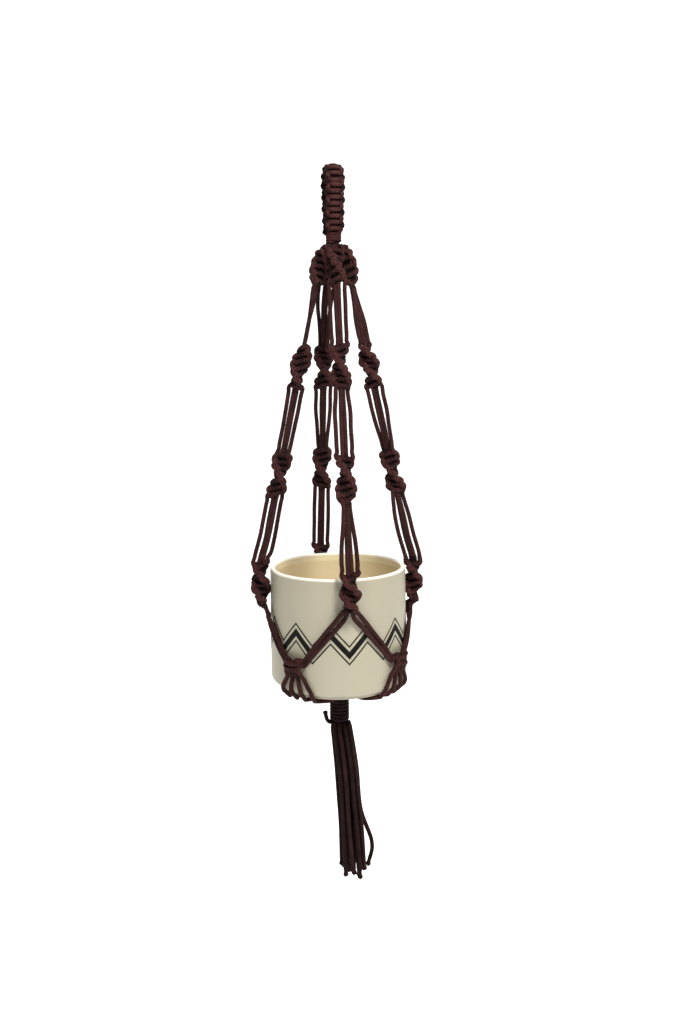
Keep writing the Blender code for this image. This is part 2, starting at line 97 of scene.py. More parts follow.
NECK_TOP = -LOOP_LENGTH - GAP
NECK_END = NECK_TOP - NECK_LENGTH
CROWN_TOP = NECK_END - 0.0035
CROWN_END = CROWN_TOP - CROWN_LENGTH
KNOT_TOPS = [CROWN_END - FIRST_STRETCH - k * (KNOT_LENGTH + STRETCH) for k in range(3)]
LOWER_KNOT_END = KNOT_TOPS[2] - KNOT_LENGTH
RIM = KNOT_TOPS[2] - RIM_DROP
POT_BASE = RIM - POT_HEIGHT
NET_KNOT_HEIGHT = POT_BASE + NET_KNOT_RISE
GATHER = POT_BASE - GATHER_DROP
WRAP_TOP = GATHER - BASE_WRAP_DROP
WRAP_END = WRAP_TOP - BASE_WRAP_LENGTH
TASSEL_TOP = WRAP_END - GAP
LOWER_KNOT_RADIUS = POT_RADIUS + KNOT_WIDE / 2 + 0.0006
NET_RADIUS = POT_RADIUS + CORD_RADIUS + 2 * GAP
NET_KNOT_RADIUS = POT_RADIUS + NET_KNOT_THICK / 2 + 2 * GAP
FOOT_RADIUS = POT_RADIUS - POT_CORNER - FOOT_INSET

# Cord in the looks
SINGLE_OUT = 0.0078  # of the outer strands from a ribbon's middle
PAIR_OUT = 0.0017  # of the two inner strands
HALF_KNOT = 0.0066  # height of one half-knot in the spirals
KNOT_SWELL = 1.20  # the soft cord is thicker where it is bent round in a knot
BAND_ROW = 0.0064  # height of one row in the hanging loop
MM = 0.001


# ---------------------------------------------------------------- geometry helpers
def vec(*values):
    return np.array(values, dtype=float)


def polar(radius, degrees, height):
    angle = math.radians(degrees)
    return vec(radius * math.cos(angle), radius * math.sin(angle), height)


def unit(v):
    return v / max(np.linalg.norm(v), 1e-12)


def blend(start, end, share):
    share = min(1.0, max(0.0, share))
    return start + (end - start) * share * share * (3 - 2 * share)


def smooth_line(points, spacing):
    """Close points along a Catmull-Rom curve through the given points."""
    pts = np.array(points, dtype=float)
    pts = np.vstack([2 * pts[0] - pts[1], pts, 2 * pts[-1] - pts[-2]])
    line = []
    for a, b, c, d in zip(pts, pts[1:], pts[2:], pts[3:]):
        steps = max(1, int(round(np.linalg.norm(c - b) / spacing)))
        t = (np.arange(steps) / steps)[:, None]
        line.append(
            0.5 * (2 * b + (c - a) * t + (2 * a - 5 * b + 4 * c - d) * t**2 + (3 * b - a - 3 * c + d) * t**3)
        )
    return np.vstack([*line, pts[-2:-1]])


def spacing_line(points, near, far):
    """As smooth_line, with few points where the curve's points stand far apart."""
    pts = np.array(points, dtype=float)
    ext = np.vstack([2 * pts[0] - pts[1], pts, 2 * pts[-1] - pts[-2]])
    line = []
    for a, b, c, d in zip(ext, ext[1:], ext[2:], ext[3:]):
        gap = np.linalg.norm(c - b)
        steps = max(1, int(math.ceil(gap / (near if gap < 5 * MM else far))))
        t = (np.arange(steps) / steps)[:, None]
        line.append(
            0.5 * (2 * b + (c - a) * t + (2 * a - 5 * b + 4 * c - d) * t**2 + (3 * b - a - 3 * c + d) * t**3)
        )
    return np.vstack([*line, ext[-2:-1]])


class Tube:
    """A round cord along a line, with a section carried along without twisting."""

    def __init__(self, line, radius=CORD_RADIUS, sides=9):
        self.line = np.array(line)
        count = len(self.line)
        self.radius = np.broadcast_to(np.array(radius, dtype=float), (count,)).copy()
        ahead = np.gradient(self.line, axis=0)
        ahead /= np.maximum(np.linalg.norm(ahead, axis=1), 1e-12)[:, None]
        side = unit(np.cross(ahead[0], vec(0.31, 0.87, 0.38)))
        self.rings = np.zeros((count, sides, 3))
        angles = math.tau * np.arange(sides) / sides
        for k in range(count):
            side = unit(side - ahead[k] * np.dot(side, ahead[k]))
            up = np.cross(ahead[k], side)
            self.rings[k] = self.line[k] + self.radius[k] * (
                np.cos(angles)[:, None] * side + np.sin(angles)[:, None] * up
            )
        steps = np.linalg.norm(np.diff(self.line, axis=0), axis=1)
        self.along = np.concatenate([[0.0], np.cumsum(steps)])

    def length(self):
        return float(self.along[-1])


def tipped(line, radius, swell=1.0, start=False):
    """A line and its radii with a rounded end, or with both ends rounded."""
    line = np.array(line)
    radii = np.full(len(line), radius)
    ahead = unit(line[-1] - line[-2])
    radii[-1] = radius * swell
    tip = [(0.45, 0.92 * swell), (0.8, 0.62 * swell), (0.97, 0.2)]
    line = np.vstack([line, *[line[-1] + ahead * radius * out for out, _ in tip]])
    radii = np.concatenate([radii, [radius * size for _, size in tip]])
    if start:
        back = unit(line[0] - line[1])
        tip = [(0.97, 0.2), (0.8, 0.62), (0.45, 0.92)]
        line = np.vstack([*[line[0] + back * radius * out for out, _ in tip], line])
        radii = np.concatenate([[radius * size for _, size in tip], radii])
    return line, radii


class Piece:
    """A mesh gathered from tubes and other faces."""

    def __init__(self, name):
        self.name, self.points, self.faces, self.uvs, self.tones, self.count = name, [], [], [], [], 0

    def add_tube(self, tube, first=0, last=None, cap_first=False, cap_last=False, tone=0.5, shade=None):
        last = len(tube.line) - 1 if last is None else last
        if last <= first:
            return
        rings = tube.rings[first : last + 1]
        rows, sides = rings.shape[:2]
        base = self.count
        self.points.append(rings.reshape(-1, 3))
        # shade adds painted shade and painted light to each point's value
        self.tones.append(np.full(rows * sides, tone) + (0.0 if shade is None else shade(self.points[-1])))
        self.count += rows * sides
        girth = math.tau * CORD_RADIUS
        along = tube.along[first : last + 1] / girth
        for k in range(rows - 1):
            low, high = base + k * sides, base + (k + 1) * sides
            for n in range(sides):
                after = (n + 1) % sides
                self.faces.append((low + n, low + after, high + after, high + n))
                u, v = n / sides, (n + 1) / sides
                self.uvs += [(u, along[k]), (v, along[k]), (v, along[k + 1]), (u, along[k + 1])]
        if cap_first:
            self.faces.append(tuple(base + n for n in reversed(range(sides))))
            self.uvs += [(0.5, along[0])] * sides
        if cap_last:
            self.faces.append(tuple(base + (rows - 1) * sides + n for n in range(sides)))
            self.uvs += [(0.5, along[-1])] * sides

    def finish(self, material, body, nodes=(), slot="cotton_cord"):
        mesh = bpy.data.meshes.new(self.name)
        points = np.vstack(self.points)
        mesh.from_pydata(points.tolist(), [], self.faces)
        layer = mesh.uv_layers.new(name="UVMap")
        layer.data.foreach_set("uv", np.array(self.uvs, dtype=float).ravel())
        # Per point: each cord's random colour value, plus painted shade in grooves and under the pot and painted light
        # on knot bars
        tone = mesh.attributes.new("tone", "FLOAT", "POINT")
        tone.data.foreach_set("value", np.concatenate(self.tones))
        mesh.materials.append(material)
        mesh.shade_smooth()
        item = bpy.data.objects.new(self.name, mesh)
        bpy.context.collection.objects.link(item)
        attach(item, body)
        if nodes:
            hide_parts(*nodes)
        return item


# ---------------------------------------------------------------- materials
def node(tree, kind, **values):
    made = tree.nodes.new(kind)
    for name, value in values.items():
        setattr(made, name, value)
    return made


def math_node(tree, operation, a, b=None):
    made = node(tree, "ShaderNodeMath", operation=operation)
    for socket, value in zip(made.inputs, (a, b)):
        if value is None:
            continue
        if isinstance(value, (int, float)):
            socket.default_value = value
        else:
            tree.links.new(value, socket)
    return made.outputs[0]


def mix_colour(tree, share, a, b):
    made = node(tree, "ShaderNodeMix", data_type="RGBA")
    for socket, value in ((made.inputs[0], share), (made.inputs[6], a), (made.inputs[7], b)):
        if isinstance(value, (int, float)):
            socket.default_value = value
        elif isinstance(value, tuple):
            socket.default_value = (*value, 1.0)
        else:
            tree.links.new(value, socket)
    return made.outputs[2]


def noise(tree, vector, scale, detail=3.0):
    made = node(tree, "ShaderNodeTexNoise")
    made.inputs["Scale"].default_value = scale
    made.inputs["Detail"].default_value = detail
    tree.links.new(vector, made.inputs["Vector"])
    return made.outputs["Fac"]


def cord_material():
    surface = bpy.data.materials.new("cotton_cord_looks")
    surface.use_nodes = True
    tree = surface.node_tree
    shader = tree.nodes["Principled BSDF"]
    uv = node(tree, "ShaderNodeUVMap", uv_map="UVMap").outputs[0]
    place = node(tree, "ShaderNodeTexCoord").outputs["Object"]
    split = node(tree, "ShaderNodeSeparateXYZ")
    tree.links.new(uv, split.inputs[0])
    across, along = split.outputs[0], split.outputs[1]
    # Two sets of plaits that cross: each lies on top where its own wave is the higher
    waves = []
    for sign in (1.0, -1.0):
        phase = math_node(tree, "ADD", math_node(tree, "MULTIPLY", across, math.tau * 4 * sign),
                          math_node(tree, "MULTIPLY", along, math.tau * 4))
        waves.append(math_node(tree, "SINE", phase))
    plait = math_node(tree, "MAXIMUM", waves[0], waves[1])
    plait = math_node(tree, "MULTIPLY_ADD", plait, 0.5)
    plait.node.inputs[2].default_value = 0.5
    fibre_map = node(tree, "ShaderNodeMapping")
    fibre_map.inputs["Scale"].default_value = (60.0, 14.0, 1.0)
    tree.links.new(uv, fibre_map.inputs["Vector"])
    fibre = noise(tree, fibre_map.outputs[0], 1.0, 2.0)
    patches = noise(tree, place, 130.0, 2.0)
    # Per point: random colour value of each cord, plus painted shade and painted light, darkening or lightening the
    # base colour
    tone = node(tree, "ShaderNodeAttribute", attribute_name="tone").outputs["Fac"]
    dark, light = (0.0030, 0.0009, 0.0008), (0.092, 0.0300, 0.0285)
    share = math_node(tree, "MULTIPLY", plait, 0.55)
    share = math_node(tree, "ADD", share, math_node(tree, "MULTIPLY", fibre, 0.62))
    share = math_node(tree, "ADD", share, math_node(tree, "MULTIPLY", patches, 0.50))
    share = math_node(tree, "ADD", share, math_node(tree, "MULTIPLY", tone, 0.45))
    share = math_node(tree, "SUBTRACT", share, 0.82)
    clamped = node(tree, "ShaderNodeClamp")
    tree.links.new(share, clamped.inputs[0])
    tree.links.new(mix_colour(tree, clamped.outputs[0], dark, light), shader.inputs["Base Color"])
    height = math_node(tree, "ADD", plait, math_node(tree, "MULTIPLY", fibre, 0.5))
    bump = node(tree, "ShaderNodeBump")
    bump.inputs["Strength"].default_value = 0.55
    bump.inputs["Distance"].default_value = 0.0005
    tree.links.new(height, bump.inputs["Height"])
    tree.links.new(bump.outputs[0], shader.inputs["Normal"])
    shader.inputs["Roughness"].default_value = 0.88
    shader.inputs["Specular IOR Level"].default_value = 0.12
    shader.inputs["Sheen Weight"].default_value = 0.03
    shader.inputs["Sheen Roughness"].default_value = 0.45
    shader.inputs["Sheen Tint"].default_value = (0.62, 0.40, 0.38, 1.0)
    return surface


def glaze_material():
    surface = bpy.data.materials.new("glazed_ceramic_looks")
    surface.use_nodes = True
    tree = surface.node_tree
    shader = tree.nodes["Principled BSDF"]
    place = node(tree, "ShaderNodeTexCoord").outputs["Object"]
    split = node(tree, "ShaderNodeSeparateXYZ")
    tree.links.new(place, split.inputs[0])
    radius = math_node(tree, "SQRT", math_node(
        tree, "ADD", math_node(tree, "POWER", split.outputs[0], 2.0), math_node(tree, "POWER", split.outputs[1], 2.0)))
    # Warmer and paler inside, from the rim's inner lip inwards: partly the inner glaze's own tan, partly painted light
    # on the inner wall
    inner = node(tree, "ShaderNodeMapRange")
    inner.inputs["From Min"].default_value = POT_RADIUS - 0.0018
    inner.inputs["From Max"].default_value = POT_RADIUS - POT_WALL + 0.0006
    tree.links.new(radius, inner.inputs["Value"])
    below = node(tree, "ShaderNodeMapRange")
    below.inputs["From Min"].default_value = POT_BASE + FOOT_HEIGHT + 0.003
    below.inputs["From Max"].default_value = POT_BASE + FOOT_HEIGHT + 0.005
    tree.links.new(split.outputs[2], below.inputs["Value"])
    inside = math_node(tree, "MULTIPLY", inner.outputs[0], below.outputs[0])
    clouds = noise(tree, place, 22.0, 4.0)
    specks = noise(tree, place, 900.0, 2.0)
    outer = mix_colour(tree, clouds, (0.375, 0.342, 0.255), (0.340, 0.309, 0.228))
    warm_glaze_and_painted_light = mix_colour(tree, clouds, (0.80, 0.69, 0.46), (0.72, 0.61, 0.39))
    body = mix_colour(tree, inside, outer, warm_glaze_and_painted_light)
    speck = node(tree, "ShaderNodeMapRange")
    speck.inputs["From Min"].default_value = 0.66
    speck.inputs["From Max"].default_value = 0.74
    speck.inputs["To Max"].default_value = 0.16
    tree.links.new(specks, speck.inputs["Value"])
    body = mix_colour(tree, speck.outputs[0], body, (0.36, 0.29, 0.19))
    # Paler over the rim: partly the glaze thinning there, partly a painted highlight on the lip
    edge = node(tree, "ShaderNodeMapRange")
    edge.inputs["From Min"].default_value = RIM - 0.0026
    edge.inputs["From Max"].default_value = RIM - 0.0006
    edge.inputs["To Max"].default_value = 0.92
    tree.links.new(split.outputs[2], edge.inputs["Value"])
    body = mix_colour(tree, edge.outputs[0], body, (0.93, 0.90, 0.79))
    tree.links.new(body, shader.inputs["Base Color"])
    bump = node(tree, "ShaderNodeBump")
    bump.inputs["Strength"].default_value = 0.10
    bump.inputs["Distance"].default_value = 0.0008
    tree.links.new(noise(tree, place, 60.0, 3.0), bump.inputs["Height"])
    tree.links.new(bump.outputs[0], shader.inputs["Normal"])
    shader.inputs["Roughness"].default_value = 0.42
    shader.inputs["Specular IOR Level"].default_value = 0.42
    return surface


def band_material():
    surface = bpy.data.materials.new("band_black")
    surface.use_nodes = True
    tree = surface.node_tree
    shader = tree.nodes["Principled BSDF"]
    place = node(tree, "ShaderNodeTexCoord").outputs["Object"]
    grain = noise(tree, place, 500.0, 2.0)
    colour = mix_colour(tree, grain, (0.002, 0.002, 0.002), (0.007, 0.0065, 0.006))
    tree.links.new(colour, shader.inputs["Base Color"])
    shader.inputs["Roughness"].default_value = 0.6
    shader.inputs["Specular IOR Level"].default_value = 0.1
    return surface


cord = cord_material()
glaze = glaze_material()
black = band_material()


# ---------------------------------------------------------------- knot routes
# One cord over two half-knots of a spiral: x across, y inwards (mm), z in half-knots
OVER_ROUTE = (
    (-8.3, 0.6, 0.55), (-7.6, 0.3, 0.18), (-5.0, -2.0, 0.02), (-1.5, -3.6, 0.0),
    (2.0, -3.6, 0.0), (5.0, -2.0, -0.02), (7.6, -0.2, -0.12), (8.4, -0.8, -0.45),
)
UNDER_ROUTE = (
    (7.4, -3.4, 0.25), (6.3, -4.0, -0.05), (5.6, -2.2, -0.38), (5.4, 1.2, -0.40), (2.6, 3.6, -0.22),
    (-1.5, 3.7, 0.02), (-4.9, 2.0, 0.24), (-5.7, -1.4, 0.40), (-6.4, -3.9, 0.12), (-7.8, -3.0, -0.22),
)
# The two working cords of a flat sennit, over two rows
FRONT_ROUTE = (
    (-8.6, -0.3, 0.5), (-6.8, -1.0, 0.1), (-3.2, -3.6, 0.0), (0.0, -4.0, 0.0), (3.2, -3.6, 0.0),
    (6.8, -1.0, -0.1), (8.6, -0.3, -0.5), (6.8, -1.0, -0.9), (3.2, -3.6, -1.0), (0.0, -4.0, -1.0),
    (-3.2, -3.6, -1.0), (-6.8, -1.0, -1.1),
)
BACK_ROUTE = (
    (7.1, -3.3, 0.5), (6.7, -2.7, 0.22), (6.0, 0.4, 0.03), (3.4, 3.2, 0.0), (0.0, 3.8, 0.0),
    (-3.4, 3.2, 0.0), (-6.0, 0.4, -0.03), (-6.7, -2.7, -0.22), (-7.1, -3.3, -0.5), (-6.7, -2.7, -0.78),
    (-6.0, 0.4, -0.97), (-3.4, 3.2, -1.0), (0.0, 3.8, -1.0), (3.4, 3.2, -1.0), (6.0, 0.4, -1.03),
    (6.7, -2.7, -1.22),
)


def arm_radius(height):
    stations = (
        (CROWN_TOP, CROWN_START_RADIUS),
        (CROWN_END, CROWN_END_RADIUS),
        (KNOT_TOPS[2] + FLARE_LENGTH, LOWER_KNOT_RADIUS - FLARE_OUT),
        (KNOT_TOPS[2], LOWER_KNOT_RADIUS),
    )
    for (high, near), (low, far) in zip(stations, stations[1:]):
        if height >= low:
            return near + (far - near) * (high - height) / (high - low)
    return LOWER_KNOT_RADIUS


class Arm:
    """An arm's middle line and the direction of its cords' row at each height."""

    def __init__(self, side):
        self.side, self.azimuth = side, ARM_AZIMUTHS[side]
        self.outwards = polar(1, self.azimuth, 0)
        self.around = vec(-self.outwards[1], self.outwards[0], 0)
        self.lengths = [CROWN_LENGTH, KNOT_LENGTH, KNOT_LENGTH, LOWER_KNOT_LENGTHS[side]]
        self.stations = []  # height at the top and the end, turn at the top and the end, settling share
        start = 0.0
        self.tops = tops = [CROWN_TOP, *KNOT_TOPS[:2], KNOT_TOPS[2] - LOWER_KNOT_DROPS[side]]
        for level, top in enumerate(tops):
            end = top - self.lengths[level]
            finish = start + KNOT_TURNS[side][level][1]
            self.stations.append((top, end, start, finish, None))
            if level < 3:
                following = KNOT_TURNS[side][level + 1][0]
                settled = following + 180.0 * round((finish - following) / 180.0)
                self.stations.append((end, tops[level + 1], finish, settled, RIBBON_SETTLES[side][level]))
                start = settled

    def turn(self, height):
        if height >= self.stations[0][0]:
            return self.stations[0][2]
        for top, end, start, finish, settle in self.stations:
            if height >= end:
                share = (top - height) / (top - end)
                if settle is None:
                    return start + (finish - start) * share
                return blend(start, finish, share / settle)
        return self.stations[-1][3]

    def point(self, across, inwards, height):
        turn = math.radians(self.turn(height))
        x = self.around * math.cos(turn) - self.outwards * math.sin(turn)
        y = -self.around * math.sin(turn) - self.outwards * math.cos(turn)
        middle = polar(arm_radius(height), self.azimuth, height)
        if self.side == "back":
            middle[0] += blend(0.0, BACK_ARM_SHIFT, (CROWN_TOP - height) / 0.06)
        if height < RIM + 0.012:  # a cord against the pot lies on its wall
            spot = middle + x * across + y * inwards
            flat = math.hypot(spot[0], spot[1])
            least = POT_RADIUS + CORD_RADIUS + GAP
            if flat < least:
                spot[:2] *= least / flat
            return spot
        return middle + x * across + y * inwards


def shake(amount):
    return (rng.rand(3) - 0.5) * 2 * amount


def arm_cords(arm):
    """The arm's four cords as lists of (place, tag) from the crown to the lower knot's end."""
    left, right, inner_left, inner_right = [], [], [], []
    holders = [left, right]  # the cord now at -x and the cord now at +x
    tops = arm.tops
    for level, top in enumerate(tops):
        length = arm.lengths[level]
        count = int(round(length / (0.0070 if level == 0 else HALF_KNOT)))
        pitch = length / count
        wide, deep = (1.02, 0.95) if level == 0 else (1.04 + 0.03 * (rng.rand() - 0.5), 0.80)
        for k in range(count):
            middle = top - (k + 0.5) * pitch
            nudge = shake(0.12 * MM)
            for cord_now, route in ((holders[0], OVER_ROUTE), (holders[1], UNDER_ROUTE)):
                for x, y, z in route:
                    if level == 0 and k == 0 and z > 0.2:
                        continue
                    height = middle + z * pitch
                    spot = arm.point(x * MM * wide, y * MM * deep, height)
                    cord_now.append(spot + nudge + shake(0.10 * MM))
            holders.reverse()
        # The two inner cords run straight through, a little pressed together
        for share in (0.1, 0.5, 0.9):
            height = top - length * share
            for cord_now, sign in ((inner_left, -1), (inner_right, 1)):
                cord_now.append(arm.point(sign * 0.0021, 0.0, height) + shake(0.1 * MM))
        if level == 3:
            break
        start, end = top - length, tops[level + 1]
        bare = start - end
        outs = ((0.035, 0.0082), (0.12, 0.0080), (0.35, SINGLE_OUT), (0.6, SINGLE_OUT), (0.86, SINGLE_OUT),
                (0.95, 0.0074))
        for share, out in outs:
            height = start - bare * share
            slack = 0.35 * MM if 0.1 < share < 0.9 else 0.1 * MM
            for cord_now, sign in ((holders[0], -1), (holders[1], 1)):
                cord_now.append(arm.point(sign * out, 0.0, height) + shake(slack))
        for share in (0.05, 0.35, 0.65, 0.95):
            height = start - bare * share
            for cord_now, sign in ((inner_left, -1), (inner_right, 1)):
                cord_now.append(arm.point(sign * PAIR_OUT, 0.0, height) + shake(0.2 * MM))
    return holders[0], inner_left, inner_right, holders[1]


def diagonal_points(arm, turn_sign, row):
    """A net cord straight down the wall from a lower knot's end to a net knot. Row 0 is the upper."""
    end = arm.stations[-1][1]
    shift = math.degrees(BACK_ARM_SHIFT / LOWER_KNOT_RADIUS) if arm.side == "back" else 0.0
    sweep = 45.0 - math.degrees((NET_KNOT_WIDE / 2 + DIAGONAL_END_GAP) / NET_KNOT_RADIUS)
    first_angle = math.degrees((0.0075 if row == 0 else 0.0048) / LOWER_KNOT_RADIUS)
    first_height = end - (0.0045 if row == 0 else 0.0110)
    last_height = NET_KNOT_HEIGHT + (0.0052 if row == 0 else 0.0002)
    first_radius = POT_RADIUS + (0.0062 if row == 0 else 0.0036)
    points = []
    for share in (0.0, 0.2, 0.4, 0.6, 0.8, 1.0):
        angle = turn_sign * (first_angle + (sweep - first_angle) * share) - shift * (1 - share)
        height = first_height + (last_height - first_height) * share
        radius = blend(first_radius, NET_RADIUS, share * 2.2)
        points.append(polar(radius, arm.azimuth + angle, height) + shake(0.12 * MM))
    return points


def parting_points(arm, turn_sign, row):
    """Where a net cord leaves the lower knot: four cords close together, then apart."""
    end = arm.stations[-1][1]
    around = arm.around * turn_sign
    depth = 0.0024 if row == 0 else -0.0022
    return [arm.point(0, 0, end - 0.0012) + around * 0.0024 + arm.outwards * depth + shake(0.1 * MM)]


def net_point(azimuth, x, y, height):
    """A point at x round the wall from the knot's middle and y inwards."""
    radius = max(NET_KNOT_RADIUS + 0.0008 - y, NET_RADIUS - 0.0001)
    return polar(radius, azimuth + math.degrees(x / NET_KNOT_RADIUS), height)


def base_strand_points(azimuth, place):
    """A base strand down the wall, round the pot's corner and in to the middle."""
    start = math.degrees(place * CORD_PITCH / NET_KNOT_RADIUS)
    corner = place * BASE_STRAND_FAN
    middle = place * 22.5
    knot_end = NET_KNOT_HEIGHT - NET_KNOT_HIGH / 2
    corner_top = POT_BASE + FOOT_HEIGHT + POT_CORNER
    under = POT_BASE - CORD_RADIUS - GAP
    clear = CORD_RADIUS + GAP
    points = []
    for share in (0.30, 0.72):
        height = knot_end + (corner_top - knot_end) * share
        angle = azimuth + start + (corner - start) * (0.95 * share)
        points.append(polar(NET_RADIUS, angle, height) + shake(0.15 * MM))
    # Close round the pot's corner, then across to the foot ring and under it
    for degrees in (8, 36, 62):
        angle = math.radians(degrees)
        radius = POT_RADIUS - POT_CORNER + (POT_CORNER + clear) * math.cos(angle)
        height = corner_top - (POT_CORNER + clear) * math.sin(angle)
        points.append(polar(radius, azimuth + corner * (0.97 + degrees / 2000), height))
    for degrees in (40, 80):
        angle = math.radians(degrees)
        radius = FOOT_RADIUS + clear * math.cos(angle)
        points.append(polar(radius, azimuth + corner, POT_BASE - clear * math.sin(angle)))
    # The outer strands run round under the foot ring for a while before they turn in
    last = GATHER_RADIUS + 2 * GAP
    for share, turned in ((0.05, 0.35), (0.12, 0.65), (0.30, 0.9), (0.6, 1.0), (1.0, 1.0)):
        radius = FOOT_RADIUS + (last - FOOT_RADIUS) * share
        height = under + (GATHER - under) * share**1.5
        points.append(polar(radius, azimuth + corner + (middle - corner) * turned, height))
    return points


# ---------------------------------------------------------------- arms, net and base strands
arms = {side: Arm(side) for side in ARM_AZIMUTHS}
row_cords = {side: arm_cords(arm) for side, arm in arms.items()}
tones = {}
net_inputs = {side: {} for side in ARM_AZIMUTHS}  # net knot: {"left": (worker, filler), "right": ...}
sides_in_order = ("front", "right", "back", "left")  # azimuth rises from one to the next

for side, arm in arms.items():
    # The cord nearest the crown comes out of the bundle under the neck
    for n, points in enumerate(row_cords[side]):
        place = (-1.5, -0.5, 0.5, 1.5)[n]
        spread = place * 0.0022
        inside = arm.outwards * 0.0042 + arm.around * spread + vec(0, 0, CROWN_TOP + 0.0005)
        start = [inside + vec(0, 0, 0.0015), inside + arm.outwards * 0.0018]
        if n in (0, 3):
            lift = 0.0034 if side == "right" and n == 3 else 0.0012
            reach = 0.0128 if side == "right" else 0.0112
            start.append(arm.outwards * 0.0078 + arm.around * place * 0.0033 + vec(0, 0, CROWN_TOP + lift))
            start.append(arm.outwards * reach + arm.around * place * 0.0048 + vec(0, 0, CROWN_TOP + lift * 0.6))
        else:
            start.append(arm.outwards * 0.0085 + arm.around * place * 0.0040 + vec(0, 0, CROWN_TOP - 0.0015))
        points[:0] = start
    # At the lower end the cords on the arm's +x side leave towards its rising azimuth
    finish = math.radians(arm.stations[-1][3])
    order = list(row_cords[side])
    if math.cos(finish) < 0:
        order.reverse()
    outer_low, inner_low, inner_high, outer_high = order
    for turn_sign, (inner, outer) in ((-1, (inner_low, outer_low)), (1, (inner_high, outer_high))):
        for row, points in ((1, inner), (0, outer)):
            points += parting_points(arm, turn_sign, row)
            points += diagonal_points(arm, turn_sign, row)
    index = sides_in_order.index(side)
    net_inputs[side]["from_low"] = (outer_high, inner_high)
    net_inputs[sides_in_order[index - 1]]["from_high"] = (outer_low, inner_low)

# Each net knot takes two cords from the arm before it and two from the arm after
net_starts = {}
for side in sides_in_order:
    azimuth = ARM_AZIMUTHS[side] + 45.0
    row = 0.0055
    knot_top = NET_KNOT_HEIGHT + 0.0028
    (upper_low, lower_low) = net_inputs[side]["from_low"]
    (upper_high, lower_high) = net_inputs[side]["from_high"]
    # The lower cord of each pair works, the upper one becomes a filler
    net_starts[side] = {id(c): len(c) for c in (upper_low, lower_low, upper_high, lower_high)}
    for points, sign in ((upper_low, -1), (upper_high, 1)):
        points.append(net_point(azimuth, sign * 0.0062, -0.0006, NET_KNOT_HEIGHT + 0.0068))
        points.append(net_point(azimuth, sign * 0.0026, 0.0, NET_KNOT_HEIGHT + 0.0038))
        points.append(net_point(azimuth, sign * 0.0021, 0.0, NET_KNOT_HEIGHT - 0.0030))
        points.append(net_point(azimuth, sign * 0.0026, 0.0, NET_KNOT_HEIGHT - 0.0078))
        points += base_strand_points(azimuth, sign * 0.5)
    for x, y, z in FRONT_ROUTE + ((-8.2, -0.6, -1.6),):
        lower_low.append(net_point(azimuth, x * MM, y * MM, knot_top + z * row) + shake(0.1 * MM))
    lower_low += base_strand_points(azimuth, -1.5)
    for x, y, z in BACK_ROUTE + ((7.6, -1.0, -1.6),):
        lower_high.append(net_point(azimuth, x * MM, y * MM * 0.8, knot_top + z * row) + shake(0.1 * MM))
    lower_high += base_strand_points(azimuth, 1.5)

levels = [KNOT_TOPS[0], KNOT_TOPS[1], KNOT_TOPS[2]]
titles = ("crown_sennit", "upper_knot", "middle_knot", "lower_knot")
pieces = {f"{side}_{title}": Piece(f"{side}_{title}_cords") for side in ARM_AZIMUTHS for title in titles}
pieces.update({f"{side}_net_knot": Piece(f"{side}_net_knot_cords") for side in ARM_AZIMUTHS})


def nearest(line, target):
    return int(np.argmin(np.linalg.norm(line - target, axis=1)))


def knot_swell(line):
    """Thicker where the cord bends tightly, with an easy change to the bare stretches."""
    heights = line[:, 2]
    spans = [(CROWN_TOP, CROWN_END)] + [(top, top - 0.9 * KNOT_LENGTH) for top in KNOT_TOPS]
    swell = np.ones(len(line))
    for top, end in spans:
        inside = np.minimum((top - heights) / 0.004, (heights - end) / 0.004)
        swell = np.maximum(swell, 1 + (KNOT_SWELL - 1) * np.clip(inside, 0, 1))
    return swell


def knot_painted_shade(arm):
    """Painted shade in a knot's grooves, painted light on its bars."""

    def shade(points):
        heights = points[:, 2]
        middles = np.array([arm.point(0, 0, z) for z in np.linspace(CROWN_TOP, LOWER_KNOT_END, 160)])[::-1]
        x = np.interp(heights, middles[:, 2], middles[:, 0])
        y = np.interp(heights, middles[:, 2], middles[:, 1])
        out = np.hypot(points[:, 0] - x, points[:, 1] - y)
        depth = 1.25 * np.clip((out - 0.0040) / 0.0042, 0, 1) - 0.85
        return np.where(knot_swell(points) > 1.0 + KNOT_SWELL * 0.05, depth, 0.0)

    return shade


for side in sides_in_order:
    for points in row_cords[side]:
        tone = 0.22 + 0.3 * rng.rand()
        shade = knot_painted_shade(arms[side])
        line = spacing_line(points, 1.3 * MM, 3.2 * MM)
        tube = Tube(line, CORD_RADIUS * knot_swell(line))
        # Cut the cord where one frame piece ends and the next begins
        net_side = next(s for s in sides_in_order if id(points) in net_starts[s])
        net_cut = nearest(line, points[net_starts[net_side][id(points)]])
        cuts = [0]
        for height in levels:
            below = np.nonzero(line[:, 2] < height)[0]
            cuts.append(int(below[0]))
        cuts += [net_cut]
        for title, first, last in zip(titles, cuts, cuts[1:]):
            pieces[f"{side}_{title}"].add_tube(tube, first, last, cap_first=first == 0, tone=tone, shade=shade)
        pieces[f"{net_side}_net_knot"].add_tube(tube, net_cut, None, cap_last=True, tone=tone)
for name, piece in pieces.items():
    piece.finish(cord, "hanger", [name])


# ---------------------------------------------------------------- hanging loop
def loop_line():
    """The middle of the band: up the back leg, over the hook and down the front leg."""
    middle = -EYE_RADIUS
    radius = EYE_RADIUS + BAND_THICKNESS / 2
    foot = BAND_THICKNESS / 2 - 0.0003
    reach = middle + LOOP_LENGTH
    lean = math.atan2(radius - foot, reach)
    front = [vec(0, -foot, -LOOP_LENGTH)]
    for k in range(17):
        angle = math.pi + lean - (math.pi + 2 * lean) * k / 16
        front.append(vec(0, radius * math.cos(angle), middle + radius * math.sin(angle)))
    front.append(vec(0, foot, -LOOP_LENGTH))
    return smooth_line(front[::-1], 1.0 * MM)


